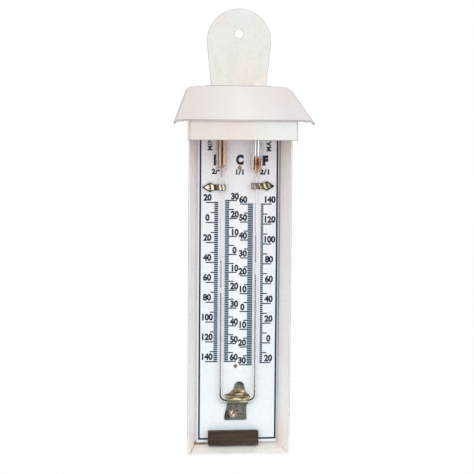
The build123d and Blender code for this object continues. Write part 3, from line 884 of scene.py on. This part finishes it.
ferrite = {
    "streakStretch": (0.10, 1, 1),  # pressing marks run along the bar
    "streak": (420, 4, 0.6),
    "streaks": [(0.32, (0.026, 0.014, 0.008)), (0.5, (0.056, 0.033, 0.019)), (0.70, (0.085, 0.054, 0.032))],
    "rimReach": 0.9,
    "rimOpen": 0.99,
    "rim": 0.9,
    "rimTone": (0.008, 0.006, 0.006),
    "specular": 0.3,
    "sheen": (600, 3),
    "roughness": (0.50, 0.72),
    "grain": (1300, 3),
    "bump": (0.35, 0.2),
}


def ferriteFinish(name):
    material, tree, shader = newMaterial(name)
    drawn = objectPoint(tree, ferrite["streakStretch"])
    tone = addRamp(tree, addNoise(tree, drawn, *ferrite["streak"]), ferrite["streaks"])
    rim = addProduct(tree, addRim(tree, ferrite["rimReach"], ferrite["rimOpen"]), ferrite["rim"])
    tree.links.new(addMix(tree, rim, tone, ferrite["rimTone"]), shader.inputs["Base Color"])
    shader.inputs["Specular IOR Level"].default_value = ferrite["specular"]
    addSkin(tree, shader, objectPoint(tree), ferrite)
    return material


finishes = {
    "case_tray": paintFinish("trayPaint", paints["case_tray"]),
    "hood": paintFinish("hoodPaint", paints["hood"]),
    "roof": paintFinish("roofPaint", paints["roof"]),
    "hood_rivets": paintFinish("rivetPaint", paints["hood_rivets"]),
    "scale_plate": plateFinish("plateEnamel"),
    "glass_tube": glassFinish("drawnGlass"),
    "spirit_min_side": spiritFinish("fadedSpirit", spirits["spirit_min_side"]),
    "spirit_max_side": spiritFinish("amberSpirit", spirits["spirit_max_side"]),
    "mercury_thread": mercuryFinish("mercuryMetal"),
    "clip_min_side": clipFinish("minClipBrass", clips["clip_min_side"]),
    "clip_max_side": clipFinish("maxClipBrass", clips["clip_max_side"]),
    "foot_clip": footFinish("highlightedPatinatedBrass"),
    "reset_magnet": ferriteFinish("sinteredFerrite"),
}
for nodeName, metal in metals.items():
    finishes[nodeName] = metalFinish(metal)
finishes["roof_rivets"] = finishes["hood_rivets"]
finishes["max_index"] = finishes["min_index"]
finishes["max_index_spring"] = finishes["min_index_spring"]
for nodeName, finish in finishes.items():
    for slot in nodes[nodeName].material_slots:
        slot.material = finish
print(f"finishes: {len(finishes)} nodes done")


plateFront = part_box("scale_plate")[0][1]

ink = {
    "lift": 0.030,  # ink above the plate
    "sink": 0.010,  # and into it
    "colour": (0.014, 0.022, 0.042),
    "fineColour": (0.024, 0.063, 0.106),
    "lighter": (1.6, 0.008),  # thin places: the ink's colour times and plus these
    "cloud": (1500, 3),
    "cloudSpan": (0.35, 0.75),
    "specular": 0.15,
    "sheen": (800, 2),
    "roughness": (0.45, 0.65),
    "capital": 0.70,  # a capital's height in the font's size
    "curveSteps": 6,
}
inkDepth = (ink["lift"] + ink["sink"]) * mm
inkMiddle = plateFront - (ink["lift"] - ink["sink"]) / 2 * mm


def inkFinish(name, colour):
    material, tree, shader = newMaterial(name)
    point = objectPoint(tree)
    times, plus = ink["lighter"]
    thin = tuple(channel * times + plus for channel in colour)
    tones = list(zip(ink["cloudSpan"], (colour, thin)))
    tone = addRamp(tree, addNoise(tree, point, *ink["cloud"]), tones)
    tree.links.new(tone, shader.inputs["Base Color"])
    shader.inputs["Specular IOR Level"].default_value = ink["specular"]
    addSkin(tree, shader, point, ink)
    return material


def inkBar(middleX, middleZ, width, height, name):
    selectNothing()
    bpy.ops.mesh.primitive_cube_add(size=1, location=(middleX * mm, inkMiddle, middleZ * mm))
    bar = bpy.context.object
    bar.scale = (width * mm, inkDepth, height * mm)
    bar.name = name
    settle(bar)
    return bar


def inkRow(left, right, topZ, pitch, count, thick, name):
    bar = inkBar((left + right) / 2, topZ, right - left, thick, name)
    array = bar.modifiers.new("rows", "ARRAY")
    array.count = count
    array.use_relative_offset = False
    array.use_constant_offset = True
    array.constant_offset_displace = (0, 0, -pitch * mm)
    selectOnly(bar)
    bpy.ops.object.modifier_apply(modifier=array.name)
    return bar


def inkWord(body, x, z, height, weight, narrow=1.0, turn=0.0, side="CENTER", spacing=1.0):
    selectNothing()
    bpy.ops.object.text_add(location=(0, 0, 0))
    word = bpy.context.object
    word.data.body = body
    word.data.align_x = side
    word.data.align_y = "BOTTOM_BASELINE"
    word.data.size = height / ink["capital"] * mm
    word.data.offset = weight * mm
    word.data.extrude = inkDepth / 2
    word.data.resolution_u = ink["curveSteps"]
    word.data.space_character = spacing
    selectOnly(word)
    bpy.ops.object.convert(target="MESH")
    word = bpy.context.object
    lie = Matrix.Rotation(math.radians(90), 4, "X")
    spin = Matrix.Rotation(math.radians(-turn), 4, "Y")
    stretch = Matrix.Diagonal((narrow, 1, 1, 1))
    place = Matrix.Translation((x * mm, inkMiddle, z * mm))
    word.matrix_world = place @ spin @ lie @ stretch
    settle(word)
    return word


printInk = inkFinish("printInk", ink["colour"])
fineInk = inkFinish("fineInk", ink["fineColour"])

degree = {
    "coldDrop": 92.07,  # -30 C on the falling scale
    "pitch": 1.002,  # per degree C
    "risingShift": 1.98,  # the rising scale sits this much lower
    "coldest": -30,
    "hottest": 60,
}
degreesF = 1.8  # in a degree C


def celsiusZ(value, rising):
    if rising:
        drop = degree["coldDrop"] + degree["risingShift"]
        return -(drop + (degree["hottest"] - value) * degree["pitch"])
    return -(degree["coldDrop"] + (value - degree["coldest"]) * degree["pitch"])


def fahrenheitZ(value, rising):
    return celsiusZ((value - 32) / degreesF, rising)


ticks = {
    "fineF": 0.86,
    "fineC": 0.79,
    "long": 0.62,
    # name, scale, rising or not, left and right end, first value, degrees apart, how many
    "rows": [
        ("fineLeftF", "F", False, -13.25, -10.85, -20, 2, 81),
        ("halfLeftF", "F", False, -15.3, -13.2, -10, 20, 8),
        ("longLeftF", "F", False, -17.95, -13.2, -20, 20, 9),
        ("fineLeftC", "C", False, -7.26, -4.96, -30, 1, 91),
        ("halfLeftC", "C", False, -5.0, -2.21, -25, 10, 9),
        ("longLeftC", "C", False, -5.0, -0.64, -30, 10, 10),
        ("fineRightC", "C", True, 5.45, 9.35, 60, 1, 91),
        ("halfRightC", "C", True, 3.41, 5.85, 55, 10, 9),
        ("longRightC", "C", True, 1.27, 5.85, 60, 10, 10),
        ("fineRightF", "F", True, 12.7, 14.20, 140, 2, 81),
        ("halfRightF", "F", True, 14.0, 16.59, 130, 20, 8),
        ("longRightF", "F", True, 14.0, 18.85, 140, 20, 9),
    ],
}
scaleZ = {"C": celsiusZ, "F": fahrenheitZ}
pitches = {"C": degree["pitch"], "F": degree["pitch"] / degreesF}
lines = []
fineLines = []
for name, scale, rising, left, right, first, step, count in ticks["rows"]:
    fine = name.startswith("fine")
    thick = ticks["fine" + scale] if fine else ticks["long"]
    row = inkRow(left, right, scaleZ[scale](first, rising), pitches[scale] * step, count, thick, name)
    (fineLines if fine else lines).append(row)
finishPiece(joinPieces(lines, "scaleLines"), "case", printInk)
finishPiece(joinPieces(fineLines, "scaleFineLines"), "case", fineInk)
print("degree lines: done")

border = {
    "left": -21.15,
    "right": 21.8,
    "top": -37.5,
    "foot": -226.0,
    "width": 0.95,
}
middleX = (border["left"] + border["right"]) / 2
middleZ = (border["top"] + border["foot"]) / 2
wide = border["right"] - border["left"] - border["width"]
tall = border["top"] - border["foot"] + border["width"]
sides = [
    inkBar(border["left"], middleZ, border["width"], tall, "borderLeft"),
    inkBar(border["right"], middleZ, border["width"], tall, "borderRight"),
    inkBar(middleX, border["foot"], wide, border["width"], "borderFoot"),
    inkBar(middleX, border["top"], wide, border["width"], "borderTop"),
]
finishPiece(joinPieces(sides, "scaleBorder"), "case", printInk)
print("border: done")

numbers = {
    "height": 3.35,
    "weight": 0.25,
    "narrow": 0.92,
    "valuesF": range(-20, 141, 20),
    "valuesC": range(-30, 61, 10),
    # middle of each column, and the foot of its numbers above their ticks
    "fallingF": (-17.1, 1.15),
    "fallingC": (-1.85, 0.75),
    "risingC": (2.8, 0.90),
    "risingF": (17.6, 0.95),
}


def scaleNumber(value, column, tickZ):
    middle, rise = numbers[column]
    body = str(abs(value))  # no minus signs are printed
    return inkWord(body, middle, tickZ + rise, numbers["height"], numbers["weight"], numbers["narrow"])


words = []
for value in numbers["valuesF"]:
    words.append(scaleNumber(value, "fallingF", fahrenheitZ(value, False)))
    words.append(scaleNumber(value, "risingF", fahrenheitZ(value, True)))
for value in numbers["valuesC"]:
    words.append(scaleNumber(value, "fallingC", celsiusZ(value, False)))
    words.append(scaleNumber(value, "risingC", celsiusZ(value, True)))
finishPiece(joinPieces(words, "scaleNumbers"), "case", printInk)

upright = {"height": 2.5, "weight": 0.15, "turn": 90, "side": "LEFT", "spacing": 1.15}
letters = [
    {"body": "F", "x": -12.25, "z": -71.9, "height": 4.8, "weight": 0.72, "narrow": 0.85},
    {"body": "C", "x": 0.8, "z": -71.8, "height": 4.8, "weight": 0.50, "narrow": 0.82},
    {"body": "F", "x": 14.95, "z": -72.1, "height": 4.7, "weight": 0.55, "narrow": 0.87},
    {"body": "2/1", "x": -12.1, "z": -77.2, "height": 2.6, "weight": 0.24, "spacing": 1.15},
    {"body": "1/1", "x": 0.8, "z": -77.5, "height": 2.6, "weight": 0.24, "spacing": 1.15},
    {"body": "2/1", "x": 15.0, "z": -77.4, "height": 2.6, "weight": 0.24, "narrow": 1.08, "spacing": 1.15},
    {"body": "MIN", "x": -14.7, "z": -64.4, **upright},
    {"body": "MAX", "x": 18.1, "z": -64.8, **upright},
]
words = [inkWord(**letter) for letter in letters]
finishPiece(joinPieces(words, "scaleLetters"), "case", printInk)
print("numbers and letters: done")

stage = {
    "floorZ": -300,
    "floorSize": 6000,
    "tones": [(0.3, (0.80, 0.80, 0.80)), (0.7, (0.83, 0.83, 0.83))],
    "cloud": (6, 2),
    "roughness": 0.9,
    "background": 1.0,
    "backgroundShare": 0.95,
    "sky": (1, 1, 1, 1),
    "skyStrength": 1.0,
}


# a floor that keeps the shadow and is seen, and mirrored, as a white background
def floorFinish(name):
    material, tree, shader = newMaterial(name)
    cloud = addNoise(tree, objectPoint(tree), *stage["cloud"])
    tree.links.new(addRamp(tree, cloud, stage["tones"]), shader.inputs["Base Color"])
    shader.inputs["Roughness"].default_value = stage["roughness"]
    glow = tree.nodes.new("ShaderNodeEmission")
    glow.inputs["Strength"].default_value = stage["background"]
    path = tree.nodes.new("ShaderNodeLightPath")
    seen = path.outputs["Is Camera Ray"]
    for ray in ("Is Transmission Ray", "Is Glossy Ray"):
        seen = addMath(tree, "MAXIMUM", seen, path.outputs[ray])
    share = addProduct(tree, seen, stage["backgroundShare"])
    setSurface(tree, mixShaders(tree, share, shader.outputs["BSDF"], glow.outputs["Emission"]))
    return material


selectNothing()
bpy.ops.mesh.primitive_plane_add(size=stage["floorSize"] * mm, location=(0, 0, stage["floorZ"] * mm))
floor = bpy.context.object
floor.name = "floor"
settle(floor)
floor.data.materials.append(floorFinish("paleFloor"))

world = bpy.data.worlds.new("studio")
bpy.context.scene.world = world
world.use_nodes = True
sky = world.node_tree.nodes["Background"]
sky.inputs["Color"].default_value = stage["sky"]
sky.inputs["Strength"].default_value = stage["skyStrength"]

lamps = {
    "keyLamp": {"place": (-550, -1050, 300), "size": 700, "power": 1.5},
    "fillLamp": {"place": (750, -950, 50), "size": 900, "power": 1.6},
}
lampAim = (0, -10, -110)  # the middle of the case
for lampName, values in lamps.items():
    place = Vector([value * mm for value in values["place"]])
    away = Vector([value * mm for value in lampAim]) - place
    selectNothing()
    bpy.ops.object.light_add(type="AREA", location=place)
    lamp = bpy.context.object
    lamp.name = lampName
    lamp.data.size = values["size"] * mm
    lamp.data.energy = values["power"]
    lamp.rotation_euler = away.to_track_quat("-Z", "Y").to_euler()
print("floor and lamps: done")

view = {
    "azimuth": -6.6,
    "elevation": 4.33,
    "distance": 800,
    "aim": (-0.806, -5.0, -112.19),
    "roll": 0.45,
    "lens": 109.52,
    "sensor": 36,
    "nearest": 10,
}
azimuth = math.radians(view["azimuth"])
elevation = math.radians(view["elevation"])
aim = Vector(view["aim"]) * mm
outward = Vector((
    math.sin(azimuth) * math.cos(elevation),
    -math.cos(azimuth) * math.cos(elevation),
    math.sin(elevation),
))
selectNothing()
bpy.ops.object.camera_add(location=aim + outward * (view["distance"] * mm))
camera = bpy.context.object
camera.name = "camera"
camera.data.lens = view["lens"]
camera.data.sensor_width = view["sensor"]
camera.data.clip_start = view["nearest"] * mm
roll = Matrix.Rotation(math.radians(view["roll"]), 4, "Z")
camera.rotation_euler = (outward.to_track_quat("Z", "Y").to_matrix().to_4x4() @ roll).to_euler()
bpy.context.scene.camera = camera
bpy.context.scene.view_settings.view_transform = "Standard"
print("camera: done")
